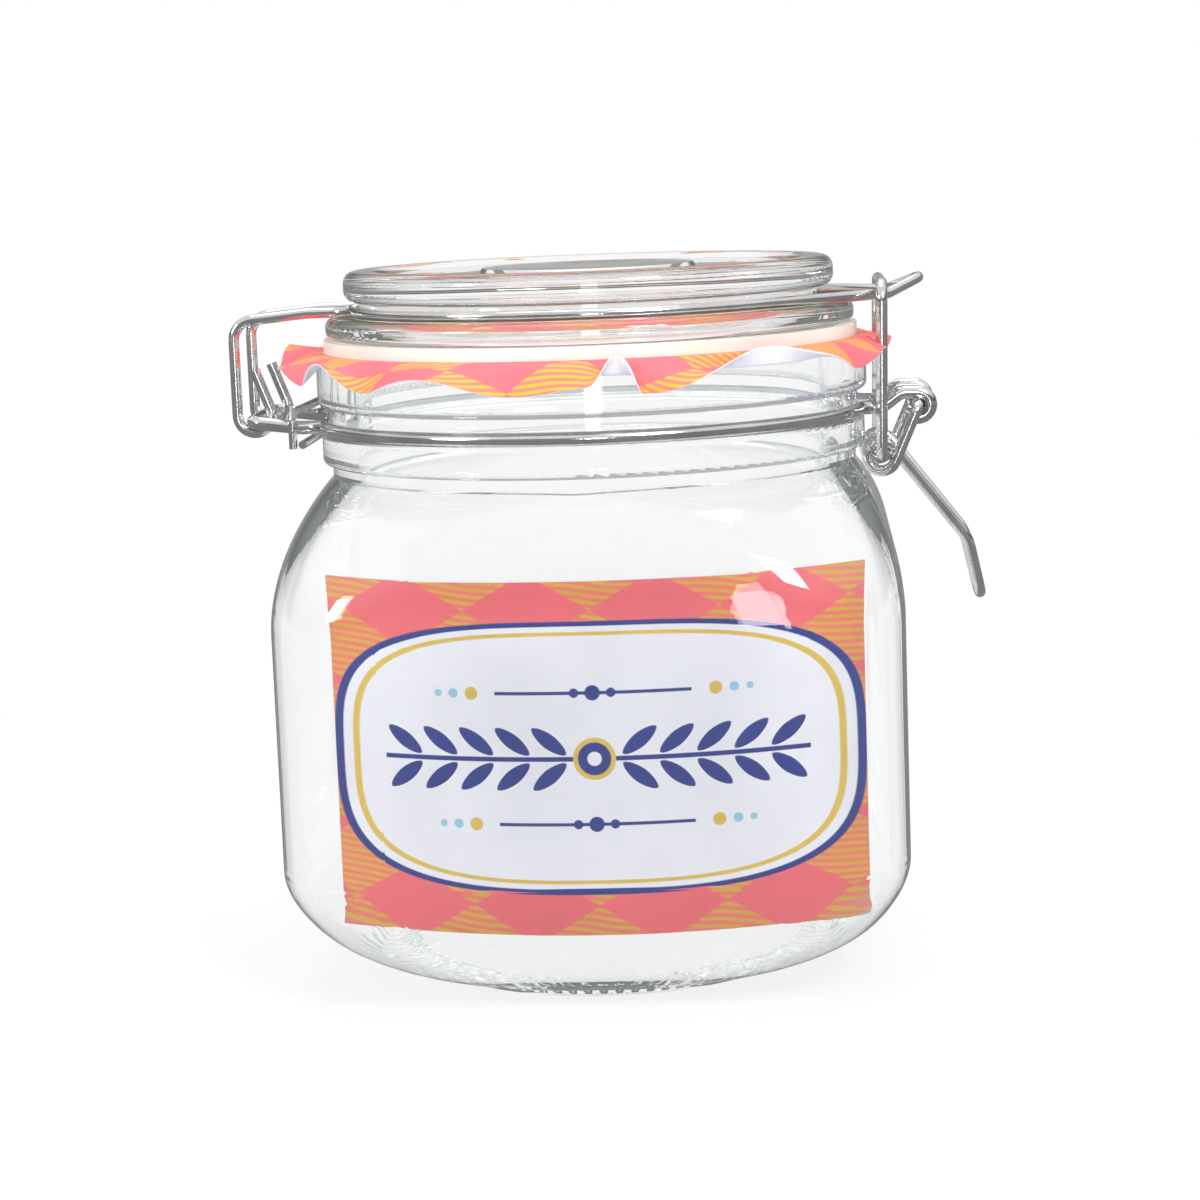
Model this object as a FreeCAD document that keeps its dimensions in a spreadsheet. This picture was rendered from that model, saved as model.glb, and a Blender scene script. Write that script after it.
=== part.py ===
import FreeCAD
import Part
import Sketcher
import math
import os

# Clip-top glass canister. Millimetres, +Z up, origin at the middle of the base.
# +X is the latch side, -X the hinge side, -Y the front face of the body.

doc = FreeCAD.newDocument("canister")
sheet = doc.addObject("Spreadsheet::Sheet", "sizes")
# Driving sizes, one cell each in the sheet
driving = {
    # Jar body
    "body_half": 54.2,
    "body_corner": 20.2,
    "wall": 3.2,
    "floor_thick": 5.5,
    "foot_inset": 17.6,
    "foot_rise": 1.6,
    "foot_width": 7.0,
    "punt_depth": 1.2,
    "base_curve": 22.0,
    "base_power": 1.55,
    "side_height": 41.5,
    "shoulder_rise": 24.4,
    "shoulder_bow": 0.733,
    "flat_least": 0.5,
    # Jar neck
    "neck_radius": 47.6,
    "neck_wall": 5.1,
    "neck_lap": 3.0,
    "neck_tuck": 0.4,
    "bore_lap": 4.0,
    "bore_tuck": 0.6,
    "bore_cut": 1.0,
    "recess_in": 0.5,
    "recess_height": 2.2,
    "bead_proud": 1.2,
    "bead_height": 5.6,
    "neck_groove": 4.5,
    "rim_proud": 1.7,
    "rim_height": 9.3,
    "round_share": 0.75,
    # Seal and paper
    "paper_thick": 0.25,
    "ring_inset": 1.5,
    "ring_thick": 2.25,
    "ring_fit": 0.15,
    "skirt_length": 6.4,
    "skirt_bend": 0.6,
    "skirt_droop": 45.0,
    "skirt_lean": 40.0,
    "skirt_most": 84.0,
    "skirt_least": -20.0,
    "skirt_wave": 24.0,
    "skirt_folds": 13,
    # Lid
    "flange_inset": 2.0,
    "flange_thick": 3.9,
    "flange_round": 0.42,
    "lid_groove": 2.6,
    "crown_step": 3.5,
    "crown_lip": 2.25,
    "crown_thick": 5.4,
    "crown_round": 0.9,
    "crown_edge": 4.8,
    "dish_depth": 1.0,
    "button_radius": 19.0,
    "button_rise": 0.6,
    "plug_fit": 0.9,
    "plug_taper": 1.0,
    "plug_depth": 5.0,
    "plug_width": 5.0,
    "lid_thick": 5.0,
    # Wires
    "neck_wire": 2.4,
    "bail_wire": 1.9,
    "latch_wire": 2.0,
    "clip_wire": 1.5,
    "seat_gap": 0.05,
    # Hinge
    "hinge_out": 10.7,
    "hinge_lift": 1.15,
    "rod_spread": 12.6,
    "rod_corner": 2.5,
    "hook_spread": 8.5,
    "hook_radius": 3.1,
    "hook_lean": 20.0,
    "hook_tail": 7.5,
    "leg_corner": 3.6,
    "arm_bend": 5.0,
    "arm_drop": 1.2,
    "arm_level": 4.4,
    "clip_in": 7.7,
    "clip_pitch": 1.8,
    "clip_half": 2.8,
    "clip_corner": 1.6,
    # Latch
    "pivot_out": 8.7,
    "pivot_lift": 0.25,
    "eye_spread": 8.0,
    "eye_wrap": 35.0,
    "front_bend": 2.5,
    "rise_start": 1.4,
    "rise_run": 3.4,
    "lever_spread": 10.8,
    "lever_stub": 5.0,
    "coil_back": 6.6,
    "coil_drop": 8.8,
    "coil_radius": 2.5,
    "coil_shift": 2.2,
    "handle_angle": 52.3,
    "handle_length": 21.5,
    "handle_narrow": 2.4,
    "grip_angle": 78.0,
    "grip_length": 10.6,
    "grip_half": 4.6,
    "grip_corner": 3.6,
    "link_spread": 13.4,
    "link_lean": 0.6,
    "link_corner": 3.4,
    "link_foot": 1.8,
    "link_stub": 5.6,
    "tongue_angle": 45.0,
    "tongue_bend": 1.2,
    "tongue_lift": 2.9,
    "tongue_tip": 3.0,
    # Printed card
    "card_margin": 11.0,
    "card_height": 59.5,
    "card_thick": 0.4,
    "card_bow": 12.0,
    "card_gap": 3.3,
    "card_rise": 15.2,
    "card_shift": 1.5,
}
for row, name in enumerate(driving, 1):
    sheet.set("A%d" % row, name)
    sheet.set("B%d" % row, str(driving[name]))
    sheet.setAlias("B%d" % row, name)
doc.recompute()


def val(name):
    return float(getattr(sheet, name))


def vec(x, y, z):
    return FreeCAD.Vector(x, y, z)


# Radii that follow the neck, and the card, as sheet expressions
foot_radius = "(sizes.body_half - sizes.foot_inset)"
recess_radius = "(sizes.neck_radius - sizes.recess_in)"
bead_radius = "(sizes.neck_radius + sizes.bead_proud)"
rim_radius = "(sizes.neck_radius + sizes.rim_proud)"
mouth_radius = "(sizes.neck_radius - sizes.neck_wall)"
ring_outer = "(%s - sizes.ring_inset)" % rim_radius
flange_radius = "(%s - sizes.flange_inset)" % rim_radius
crown_radius = "(%s - sizes.crown_step)" % flange_radius
groove_radius = "(%s - sizes.crown_lip)" % crown_radius
plug_radius = "(%s - sizes.plug_fit)" % mouth_radius
card_width = "(2 * (sizes.body_half - sizes.wall) - sizes.card_margin)"

# Levels that stack up from the base, as sheet expressions
base_top = "(sizes.foot_rise + sizes.base_curve)"
side_top = "(%s + sizes.side_height)" % base_top
neck_base = "(%s + sizes.shoulder_rise)" % side_top
bead_low = "(%s + sizes.recess_height)" % neck_base
bead_top = "(%s + sizes.bead_height)" % bead_low
rim_low = "(%s + sizes.neck_groove)" % bead_top
rim_top = "(%s + sizes.rim_height)" % rim_low
paper_top = "(%s + sizes.paper_thick)" % rim_top
ring_top = "(%s + sizes.ring_thick)" % paper_top
flange_top = "(%s + sizes.flange_thick)" % ring_top
crown_low = "(%s + sizes.lid_groove)" % flange_top
crown_top = "(%s + sizes.crown_thick)" % crown_low
plug_low = "(%s - sizes.plug_depth)" % ring_top


def number(expression):
    return float(sheet.evalExpression(expression.replace("sizes.", "")))


z_bead_top = number(bead_top)
z_rim_top = number(rim_top)
z_ring_low = number(paper_top)
z_ring_top = number(ring_top)
z_flange_top = number(flange_top)
z_plug_low = number(plug_low)
r_rim = number(rim_radius)
r_mouth = number(mouth_radius)


# Sketch helpers
def origin_plane(body, role):
    for item in body.Origin.OriginFeatures:
        if item.Role == role:
            return item
    raise RuntimeError(role)


def new_sketch(body, name, role, lift=None):
    sketch = body.newObject("Sketcher::SketchObject", name)
    sketch.AttachmentSupport = [(origin_plane(body, role), "")]
    sketch.MapMode = "FlatFace"
    if lift:
        sketch.setExpression("AttachmentOffset.Base.z", lift)
    return sketch


def bind(sketch, constraint, expression):
    index = sketch.addConstraint(constraint)
    label = "d%d" % index
    sketch.renameConstraint(index, label)
    sketch.setExpression("Constraints." + label, expression)


# Closed profile of straight lines whose corners are fixed by sheet expressions
def profile(sketch, corners):
    count = len(corners)
    points = [vec(number(x), number(y), 0) for x, y in corners]
    for i in range(count):
        sketch.addGeometry(Part.LineSegment(points[i], points[(i + 1) % count]), False)
    for i in range(count):
        sketch.addConstraint(Sketcher.Constraint("Coincident", i, 2, (i + 1) % count, 1))
    for i in range(count):
        x, y = corners[i]
        if abs(points[i].x) < 1e-9:
            sketch.addConstraint(Sketcher.Constraint("PointOnObject", i, 1, -2))
        else:
            bind(sketch, Sketcher.Constraint("DistanceX", -1, 1, i, 1, points[i].x), x)
        if abs(points[i].y) < 1e-9:
            sketch.addConstraint(Sketcher.Constraint("PointOnObject", i, 1, -1))
        else:
            bind(sketch, Sketcher.Constraint("DistanceY", -1, 1, i, 1, points[i].y), y)


# Square with round corners, centred on the axis
def rounded_square(sketch, half_expression, corner_expression):
    half = number(half_expression)
    corner = number(corner_expression)
    flat = half - corner
    up = vec(0, 0, 1)
    quarter = math.pi / 2
    sketch.addGeometry(Part.LineSegment(vec(-flat, -half, 0), vec(flat, -half, 0)), False)
    sketch.addGeometry(Part.LineSegment(vec(half, -flat, 0), vec(half, flat, 0)), False)
    sketch.addGeometry(Part.LineSegment(vec(flat, half, 0), vec(-flat, half, 0)), False)
    sketch.addGeometry(Part.LineSegment(vec(-half, flat, 0), vec(-half, -flat, 0)), False)
    centres = [vec(flat, -flat, 0), vec(flat, flat, 0), vec(-flat, flat, 0), vec(-flat, -flat, 0)]
    for i in range(4):
        start = (i - 1) * quarter
        circle = Part.Circle(centres[i], up, corner)
        sketch.addGeometry(Part.ArcOfCircle(circle, start, start + quarter), False)
    for i in range(4):
        sketch.addConstraint(Sketcher.Constraint("Tangent", i, 2, 4 + i, 1))
        sketch.addConstraint(Sketcher.Constraint("Tangent", 4 + i, 2, (i + 1) % 4, 1))
    for i in (0, 2):
        sketch.addConstraint(Sketcher.Constraint("Horizontal", i))
        sketch.addConstraint(Sketcher.Constraint("Vertical", i + 1))
    for i in (5, 6, 7):
        sketch.addConstraint(Sketcher.Constraint("Equal", 4, i))
    bind(sketch, Sketcher.Constraint("Radius", 4, corner), corner_expression)
    bind(sketch, Sketcher.Constraint("DistanceY", 0, 1, -1, 1, half), half_expression)
    bind(sketch, Sketcher.Constraint("DistanceX", -1, 1, 1, 1, half), half_expression)
    bind(sketch, Sketcher.Constraint("DistanceY", -1, 1, 2, 1, half), half_expression)
    bind(sketch, Sketcher.Constraint("DistanceX", 3, 1, -1, 1, half), half_expression)


def revolve(body, sketch, name, kind="PartDesign::Revolution"):
    feature = body.newObject(kind, name)
    feature.Profile = sketch
    feature.ReferenceAxis = (sketch, ["V_Axis"])
    feature.Angle = 360.0
    return feature


# Names of the circular edges at the given radius and height
def circle_edges(feature, wanted):
    names = []
    for i, edge in enumerate(feature.Shape.Edges):
        curve = edge.Curve
        if not isinstance(curve, Part.Circle):
            continue
        for radius, height in wanted:
            if abs(curve.Radius - radius) < 0.01 and abs(curve.Center.z - height) < 0.01:
                names.append("Edge%d" % (i + 1))
                break
    return names


def round_edges(body, name, base, places, radius_expression):
    doc.recompute()
    wanted = [(number(radius), number(level)) for radius, level in places]
    names = circle_edges(base, wanted)
    if len(names) < len(wanted):
        raise RuntimeError("edges for " + name)
    feature = body.newObject("PartDesign::Fillet", name)
    feature.Base = (base, names)
    feature.Radius = number(radius_expression)
    feature.setExpression("Radius", radius_expression)
    return feature


# How far in the section has come at a share of the bottom curve and of the shoulder
def base_share(share):
    return "(1 - (1 - %s ^ sizes.base_power) ^ (1 / sizes.base_power))" % share


def shoulder_share(share):
    part = "(1 - sqrt(1 - (sizes.shoulder_bow * %s) ^ 2))" % share
    return "(%s / (1 - sqrt(1 - sizes.shoulder_bow ^ 2)))" % part


def loft_section(body, name, level, inset, end_radius, grow):
    half = "(sizes.body_half - %s)" % inset
    corner = "(sizes.body_corner - %s)" % inset
    sketch = new_sketch(body, name, "XY_Plane", level)
    width = "%s - (%s - %s) * %s" % (half, half, end_radius, grow)
    radius = "%s - (%s - %s + sizes.flat_least) * %s" % (corner, corner, end_radius, grow)
    rounded_square(sketch, width, radius)
    return sketch


def loft(body, kind, name, sketches):
    feature = body.newObject(kind, name)
    feature.Profile = sketches[0]
    feature.Sections = sketches[1:]
    feature.Ruled = len(sketches) == 2
    doc.recompute()


# Bottom curve, straight sides and shoulder of the body, for the outside or the inside
def body_lofts(body, kind, name, inset, low_shares, top_radius):
    low_radius = "(%s - %s)" % (foot_radius, inset)
    low = []
    for i, share in enumerate(low_shares):
        level = "%s - sizes.base_curve * %s" % (base_top, share)
        low.append(loft_section(body, "%s_low_%d" % (name, i), level, inset, low_radius, base_share(share)))
    top = []
    for i, share in enumerate(("0", "0.15", "0.35", "0.58", "0.8", "1")):
        level = "%s + sizes.shoulder_rise * %s" % (side_top, share)
        top.append(loft_section(body, "%s_top_%d" % (name, i), level, inset, top_radius, shoulder_share(share)))
    doc.recompute()
    loft(body, kind, name + "_bottom", low)
    loft(body, kind, name + "_sides", [low[-1], top[0]])
    loft(body, kind, name + "_shoulder", top)


# Glass jar
jar = doc.addObject("PartDesign::Body", "glass_jar")
jar.Label = "glass_jar"
low_shares = ("1", "0.95", "0.8", "0.55", "0.25", "0.08", "0")
shoulder_end = "(%s - sizes.neck_tuck)" % recess_radius
body_lofts(jar, "PartDesign::AdditiveLoft", "outside", "0", low_shares, shoulder_end)

neck_sketch = new_sketch(jar, "neck_profile", "XZ_Plane")
neck_start = "(%s - sizes.neck_lap)" % neck_base
profile(neck_sketch, [
    (mouth_radius + " - sizes.bore_cut", neck_start),
    (recess_radius, neck_start),
    (recess_radius, bead_low),
    (bead_radius, bead_low),
    (bead_radius, bead_top),
    ("sizes.neck_radius", bead_top),
    ("sizes.neck_radius", rim_low),
    (rim_radius, rim_low),
    (rim_radius, rim_top),
    (mouth_radius + " - sizes.bore_cut", rim_top),
])
neck = revolve(jar, neck_sketch, "neck")
doc.recompute()

foot_sketch = new_sketch(jar, "foot_profile", "XZ_Plane")
foot_inner = "(%s - sizes.foot_width)" % foot_radius
profile(foot_sketch, [
    ("0", "sizes.punt_depth"),
    (foot_inner + " - sizes.punt_depth * 3", "sizes.punt_depth"),
    (foot_inner, "0"),
    (foot_radius + " - sizes.foot_rise", "0"),
    (foot_radius, "sizes.foot_rise"),
    (foot_radius, "sizes.foot_rise + 0.6"),
    ("0", "sizes.foot_rise + 0.6"),
])
foot = revolve(jar, foot_sketch, "foot")
doc.recompute()

floor_share = "((%s - sizes.floor_thick) / sizes.base_curve)" % base_top
low_shares = (floor_share, "0.6", "0.4", "0.2", "0.08", "0")
shoulder_end = "(%s - sizes.bore_tuck)" % mouth_radius
body_lofts(jar, "PartDesign::SubtractiveLoft", "inside", "sizes.wall", low_shares, shoulder_end)

bore_sketch = new_sketch(jar, "bore_profile", "XZ_Plane")
profile(bore_sketch, [
    ("0", "%s - sizes.bore_lap" % neck_base),
    (mouth_radius, "%s - sizes.bore_lap" % neck_base),
    (mouth_radius, "%s + sizes.bore_cut" % rim_top),
    ("0", "%s + sizes.bore_cut" % rim_top),
])
bore = revolve(jar, bore_sketch, "bore", "PartDesign::Groove")
doc.recompute()

bead_rounds = round_edges(jar, "bead_rounds", bore,
                          [(bead_radius, bead_low), (bead_radius, bead_top)],
                          "sizes.bead_proud * sizes.round_share")
rim_rounds = round_edges(jar, "rim_rounds", bead_rounds,
                         [(rim_radius, rim_low), (rim_radius, rim_top), (mouth_radius, rim_top)],
                         "sizes.rim_proud * sizes.round_share")
doc.recompute()

# Glass lid
lid = doc.addObject("PartDesign::Body", "glass_lid")
lid.Label = "glass_lid"
lid_sketch = new_sketch(lid, "lid_profile", "XZ_Plane")
lid_inside = "(%s - sizes.plug_taper - sizes.plug_width)" % plug_radius
dish_level = "(%s - sizes.dish_depth)" % crown_top
hollow_top = "(%s - sizes.lid_thick)" % dish_level
crown_dish = "(%s - sizes.crown_edge)" % crown_radius
profile(lid_sketch, [
    ("0", hollow_top),
    (lid_inside + " - 3", hollow_top),
    (lid_inside, plug_low),
    (plug_radius + " - sizes.plug_taper", plug_low),
    (plug_radius, ring_top),
    (flange_radius, ring_top),
    (flange_radius, flange_top),
    (groove_radius, flange_top),
    (groove_radius, crown_low),
    (crown_radius, crown_low),
    (crown_radius, crown_top),
    (crown_dish, crown_top),
    (crown_dish + " - 2 * sizes.dish_depth", dish_level),
    ("sizes.button_radius + sizes.button_rise", dish_level),
    ("sizes.button_radius", dish_level + " + sizes.button_rise"),
    ("0", dish_level + " + sizes.button_rise"),
])
lid_turn = revolve(lid, lid_sketch, "lid_turned")
crown_rounds = round_edges(lid, "crown_rounds", lid_turn,
                           [(crown_radius, crown_low), (crown_radius, crown_top)],
                           "sizes.crown_lip * sizes.crown_round")
flange_rounds = round_edges(lid, "flange_rounds", crown_rounds,
                            [(flange_radius, ring_top), (flange_radius, flange_top)],
                            "sizes.flange_thick * sizes.flange_round")
doc.recompute()

# Sealing ring
ring = doc.addObject("PartDesign::Body", "sealing_ring")
ring.Label = "sealing_ring"
ring_sketch = new_sketch(ring, "ring_profile", "XZ_Plane")
profile(ring_sketch, [
    (plug_radius + " + sizes.ring_fit", paper_top),
    (ring_outer, paper_top),
    (ring_outer, ring_top),
    (plug_radius + " + sizes.ring_fit", ring_top),
])
ring_turn = revolve(ring, ring_sketch, "ring_turned")
doc.recompute()

# Printed card, a strip of an arc standing behind the front wall
card = doc.addObject("PartDesign::Body", "insert_card")
card.Label = "insert_card"
card_sketch = new_sketch(card, "card_plan", "XY_Plane", "sizes.card_rise")
half_width = number(card_width) / 2
bow = val("card_bow")
card_radius = (half_width ** 2 + bow ** 2) / (2 * bow)
card_front = -(val("body_half") - val("wall") - val("card_gap"))
card_centre = vec(0, card_front + card_radius, 0)
spread = math.asin(half_width / card_radius)
inner_radius = card_radius - val("card_thick")
up = vec(0, 0, 1)
start = -math.pi / 2 - spread
stop = -math.pi / 2 + spread
card_sketch.addGeometry(Part.ArcOfCircle(Part.Circle(card_centre, up, card_radius), start, stop), False)
card_sketch.addGeometry(Part.ArcOfCircle(Part.Circle(card_centre, up, inner_radius), start, stop), False)
ends = []
for angle in (stop, start):
    aim = vec(math.cos(angle), math.sin(angle), 0)
    ends.append((card_centre + aim * card_radius, card_centre + aim * inner_radius))
card_sketch.addGeometry(Part.LineSegment(ends[0][0], ends[0][1]), False)
card_sketch.addGeometry(Part.LineSegment(ends[1][1], ends[1][0]), False)
card_sketch.addConstraint(Sketcher.Constraint("Coincident", 0, 2, 2, 1))
card_sketch.addConstraint(Sketcher.Constraint("Coincident", 2, 2, 1, 2))
card_sketch.addConstraint(Sketcher.Constraint("Coincident", 1, 1, 3, 1))
card_sketch.addConstraint(Sketcher.Constraint("Coincident", 3, 2, 0, 1))
card_sketch.addConstraint(Sketcher.Constraint("Coincident", 0, 3, 1, 3))
card_sketch.addConstraint(Sketcher.Constraint("PointOnObject", 0, 3, -2))
radius_text = "((%s / 2) ^ 2 + sizes.card_bow ^ 2) / (2 * sizes.card_bow)" % card_width
front_text = "sizes.body_half - sizes.wall - sizes.card_gap"
bind(card_sketch, Sketcher.Constraint("Radius", 0, card_radius), radius_text)
bind(card_sketch, Sketcher.Constraint("Radius", 1, inner_radius), radius_text + " - sizes.card_thick")
bind(card_sketch, Sketcher.Constraint("DistanceY", -1, 1, 0, 3, card_centre.y),
     "%s - (%s)" % (radius_text, front_text))
bind(card_sketch, Sketcher.Constraint("DistanceX", -1, 1, 0, 2, half_width), card_width + " / 2")
bind(card_sketch, Sketcher.Constraint("DistanceX", 0, 1, -1, 1, half_width), card_width + " / 2")
card_pad = card.newObject("PartDesign::Pad", "card_sheet")
card_pad.Profile = card_sketch
card_pad.Length = val("card_height")
card_pad.setExpression("Length", "sizes.card_height")
card.setExpression("Placement.Base.x", "sizes.card_shift")
doc.recompute()


# Wire paths: straight runs joined by tangent arcs
def line(a, b):
    return Part.LineSegment(a, b).toShape()


def arc(a, b, c):
    return Part.Arc(a, b, c).toShape()


# Runs through the points, each inner corner rounded to its radius
def runs(points, radii):
    edges = []
    last = points[0]
    for i in range(1, len(points) - 1):
        corner = points[i]
        back = (points[i - 1] - corner).normalize()
        ahead = (points[i + 1] - corner).normalize()
        half = back.getAngle(ahead) / 2
        reach = radii[i - 1] / math.tan(half)
        enter = corner + back * reach
        leave = corner + ahead * reach
        inward = (back + ahead).normalize()
        middle = corner + inward * (radii[i - 1] / math.sin(half) - radii[i - 1])
        if (enter - last).Length > 1e-6:
            edges.append(line(last, enter))
        edges.append(arc(enter, middle, leave))
        last = leave
    edges.append(line(last, points[-1]))
    return edges


# Arc from a point along a direction to another point
def tangent_arc(start, aim, end):
    chord = end - start
    across = chord - aim * chord.dot(aim)
    if across.Length < 1e-7:
        return line(start, end)
    side = across.normalize()
    radius = chord.dot(chord) / (2 * chord.dot(side))
    centre = start + side * radius
    middle = (start + end) * 0.5 - centre
    sign = 1.0 if chord.dot(aim) >= 0 else -1.0
    return arc(start, centre + middle.normalize() * (radius * sign), end)


# Two tangent arcs between two points with given directions
def biarc(start, aim, end, leave):
    chord = end - start
    both = aim + leave
    square = 2 * (1 - aim.dot(leave))
    along = chord.dot(both)
    step = (-along + math.sqrt(along ** 2 + 2 * square * chord.dot(chord))) / square
    middle = (start + end + (aim - leave) * (step / 2)) * 0.5
    join = start + aim * (step / 2)
    meet = end - leave * (step / 2)
    heading = (meet - join).normalize()
    return [tangent_arc(start, aim, middle), tangent_arc(middle, heading, end)]


def mirrored(edges):
    flip = FreeCAD.Matrix()
    flip.scale(1, -1, 1)
    return [edge.transformGeometry(flip) for edge in edges]


def mirror_point(p):
    return vec(p.x, -p.y, p.z)


def rod(label, edges, diameter):
    path = Part.Wire(Part.__sortEdges__(edges))
    first = path.OrderedEdges[0]
    begin = path.OrderedVertexes[0].Point
    if (first.valueAt(first.FirstParameter) - begin).Length < 1e-6:
        aim = first.tangentAt(first.FirstParameter)
    else:
        aim = first.tangentAt(first.LastParameter)
    circle = Part.Wire([Part.Circle(begin, aim, diameter / 2).toShape()])
    solid = path.makePipeShell([circle], True, False)
    if solid.Volume < 0:
        solid.reverse()
    feature = doc.addObject("Part::Feature", label)
    feature.Label = label
    feature.Shape = solid
    feature.Placement = FreeCAD.Placement()
    expected = math.pi * diameter ** 2 / 4 * path.Length
    print(label, "length %.1f volume ratio %.4f" % (path.Length, solid.Volume / expected))
    return feature


gap = val("seat_gap")
neck_r = val("neck_wire") / 2
bail_r = val("bail_wire") / 2
latch_r = val("latch_wire") / 2
clip_r = val("clip_wire") / 2


# Where a straight arm at a side offset swings on to a ring through a bend
def ring_entry(ring_radius, offset, bend, side):
    reach = ring_radius + bend
    centre_y = offset + bend
    centre_x = side * math.sqrt(reach ** 2 - centre_y ** 2)
    on_ring = vec(centre_x * ring_radius / reach, centre_y * ring_radius / reach, 0)
    on_arm = vec(centre_x, offset, 0)
    centre = vec(centre_x, centre_y, 0)
    middle = ((on_ring + on_arm) * 0.5 - centre).normalize() * bend + centre
    return on_arm, middle, on_ring


def at_height(p, z):
    return vec(p.x, p.y, z)


def ring_middle(a, b, radius, z):
    turn_a = math.atan2(a.y, a.x)
    turn_b = math.atan2(b.y, b.x)
    turn = (turn_a + turn_b) / 2
    return vec(radius * math.cos(turn), radius * math.sin(turn), z)


# Neck wire: rear loop, ring round the neck, two eyes at the front
ring_r = val("neck_radius") + neck_r + gap
ring_z = z_bead_top + neck_r + gap
hinge_x = -(r_rim + val("hinge_out"))
hinge_z = ring_z + val("hinge_lift")
rod_y = val("rod_spread")
rear_arm, rear_mid, rear_ring = ring_entry(ring_r, rod_y, val("front_bend") * 1.6, -1)
eye_y = val("eye_spread")
front_arm, front_mid, front_ring = ring_entry(ring_r, eye_y, val("front_bend"), 1)
pivot = vec(r_rim + val("pivot_out"), 0, ring_z + val("pivot_lift"))
eye_r = latch_r + gap + neck_r
eye_top = pivot.z + eye_r
half_path = []
half_path += runs([vec(hinge_x, 0, hinge_z), vec(hinge_x, rod_y, hinge_z),
                   vec(rear_arm.x - 1.0, rod_y, ring_z), vec(rear_arm.x, rod_y, ring_z)],
                  [val("rod_corner"), neck_r * 5])
half_path.append(arc(at_height(rear_arm, ring_z), at_height(rear_mid, ring_z), at_height(rear_ring, ring_z)))
half_path.append(arc(at_height(rear_ring, ring_z), ring_middle(rear_ring, front_ring, ring_r, ring_z),
                     at_height(front_ring, ring_z)))
half_path.append(arc(at_height(front_ring, ring_z), at_height(front_mid, ring_z), at_height(front_arm, ring_z)))
rise_start = front_arm.x + val("rise_start")
rise_end = rise_start + val("rise_run")
half_path += runs([at_height(front_arm, ring_z), vec(rise_start, eye_y, ring_z),
                   vec(rise_end, eye_y, eye_top), vec(pivot.x, eye_y, eye_top)],
                  [val("front_bend"), val("front_bend")])
half_path.append(arc(vec(pivot.x, eye_y, eye_top), vec(pivot.x + eye_r, eye_y, pivot.z),
                     vec(pivot.x, eye_y, pivot.z - eye_r)))
wrap = math.radians(val("eye_wrap"))
half_path.append(arc(vec(pivot.x, eye_y, pivot.z - eye_r),
                     vec(pivot.x - eye_r * math.sin(wrap / 2), eye_y, pivot.z - eye_r * math.cos(wrap / 2)),
                     vec(pivot.x - eye_r * math.sin(wrap), eye_y, pivot.z - eye_r * math.cos(wrap))))
neck_wire = rod("neck_wire", half_path + mirrored(half_path), val("neck_wire"))

# Neck clip: one turn of wire round the two rear rods
clip_x = hinge_x + val("clip_in")
clip_inner = clip_x + val("clip_pitch")
clip_y = rod_y + neck_r + clip_r + gap
clip_low = ring_z - val("clip_half")
clip_high = ring_z + val("clip_half")
turn = val("clip_corner")
clip_points = [
    vec(clip_inner, -clip_y - clip_r, clip_low),
    vec(clip_inner, clip_y, clip_low),
    vec((clip_inner + clip_x) / 2, clip_y, clip_high),
    vec(clip_x, -clip_y, clip_high),
    vec(clip_x, -clip_y, clip_low - clip_r),
]
neck_clip = rod("neck_clip", runs(clip_points, [turn, turn, turn]), val("clip_wire"))

# Lid bail: hooks on the rear loop, groove of the lid, latch tongue at the front
bail_ring = number(groove_radius) + bail_r + gap
bail_z = z_flange_top + bail_r + gap
hook_y = val("hook_spread")
hook_r = val("hook_radius")
hook_low = hinge_z - neck_r - bail_r - gap
hook_z = hook_low + hook_r
leg_x = hinge_x - hook_r
lean = math.radians(val("hook_lean"))
tail_start = vec(hinge_x + hook_r * math.cos(lean), hook_y, hook_z + hook_r * math.sin(lean))
tail_end = tail_start + vec(-math.sin(lean), 0, math.cos(lean)) * val("hook_tail")
arm_start, arm_mid, arm_ring = ring_entry(bail_ring, hook_y, val("arm_bend"), -1)
tongue = math.radians(val("tongue_angle"))
leave_ring = vec(bail_ring * math.cos(tongue), bail_ring * math.sin(tongue), bail_z)
apex_x = bail_ring / math.cos(tongue)
link_x = pivot.x - val("coil_back") + val("link_lean")
bend_x = link_x + val("tongue_bend")
bend_y = (apex_x - bend_x) / math.tan(tongue)
bail_half = [line(tail_end, tail_start)]
bail_half.append(arc(tail_start, vec(hinge_x + hook_r * math.sin(lean / 2 + math.pi / 4), hook_y,
                                     hook_z - hook_r * math.cos(lean / 2 + math.pi / 4)),
                     vec(hinge_x, hook_y, hook_low)))
bail_half.append(arc(vec(hinge_x, hook_y, hook_low),
                     vec(hinge_x - hook_r * math.sqrt(0.5), hook_y, hook_z - hook_r * math.sqrt(0.5)),
                     vec(leg_x, hook_y, hook_z)))
arm_turn = vec(arm_start.x - val("arm_level"), hook_y, bail_z)
bail_half += runs([vec(leg_x, hook_y, hook_z), vec(leg_x, hook_y, bail_z - val("arm_drop")),
                   arm_turn, at_height(arm_start, bail_z)],
                  [val("leg_corner"), bail_r * 8])
bail_half.append(arc(at_height(arm_start, bail_z), at_height(arm_mid, bail_z), at_height(arm_ring, bail_z)))
bail_half.append(arc(at_height(arm_ring, bail_z), ring_middle(arm_ring, leave_ring, bail_ring, bail_z),
                     leave_ring))
tongue_corner = vec(bend_x, bend_y, bail_z)
apex = vec(apex_x, 0, bail_z + val("tongue_lift"))
tip_back = (tongue_corner - apex).normalize()
tip_half = tip_back.getAngle(vec(-1, 0, tip_back.z / -tip_back.x).normalize())
tip_reach = val("tongue_tip") / math.tan(tip_half)
tip_enter = apex + tip_back * tip_reach
bail_half += runs([leave_ring, tongue_corner, tip_enter], [bail_r * 4])
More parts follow.
